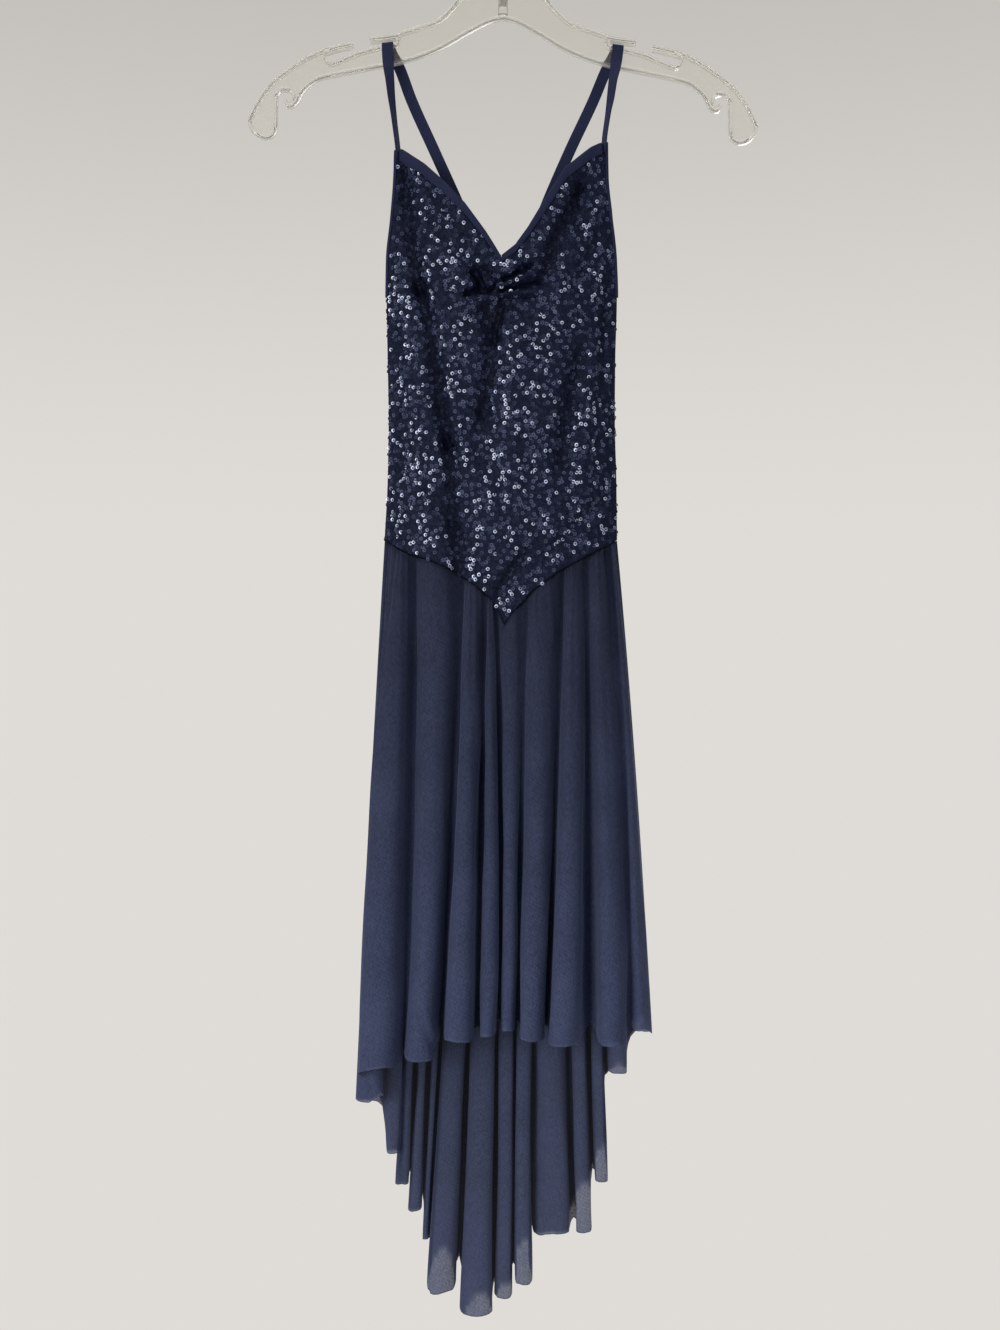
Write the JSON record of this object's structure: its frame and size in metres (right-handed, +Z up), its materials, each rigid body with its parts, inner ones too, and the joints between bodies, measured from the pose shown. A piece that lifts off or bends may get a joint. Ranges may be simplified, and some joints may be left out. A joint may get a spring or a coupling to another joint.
{
  "type": "high-low dress on a hanger",
  "caption": "Navy high-low dress on a clear strap-notch hanger: V-neck bodice with sequins, pointed waist seam, crossed back straps and a gathered mesh skirt, longer behind.",
  "frame": {"origin": "inner top of the hanger's hook, where the rail touches it", "axes": "+Z up, +Y towards the dress's back (the front faces -Y), +X to the viewer's right"},
  "size_m": [0.4274, 0.1012, 1.2189],
  "materials": {
    "clear_plastic": "clear moulded plastic, glossy",
    "chrome_wire": "bright plated wire",
    "sequin_mesh": "dark navy mesh sewn with small ring sequins",
    "navy_mesh": "soft matt navy mesh, sheer in one layer",
    "navy_binding": "matt navy stretch binding"
  },
  "bodies": {
    "root": {"hanger_frame": "clear_plastic", "hanger_hook": "chrome_wire", "strap_left": "navy_binding", "strap_right": "navy_binding", "front_bodice": "sequin_mesh", "back_bodice": "sequin_mesh", "neck_binding_left": "navy_binding", "neck_binding_right": "navy_binding", "armhole_binding_left": "navy_binding", "armhole_binding_right": "navy_binding", "back_binding": "navy_binding", "front_skirt": "navy_mesh", "back_skirt": "navy_mesh"}
  },
  "joints": []
}
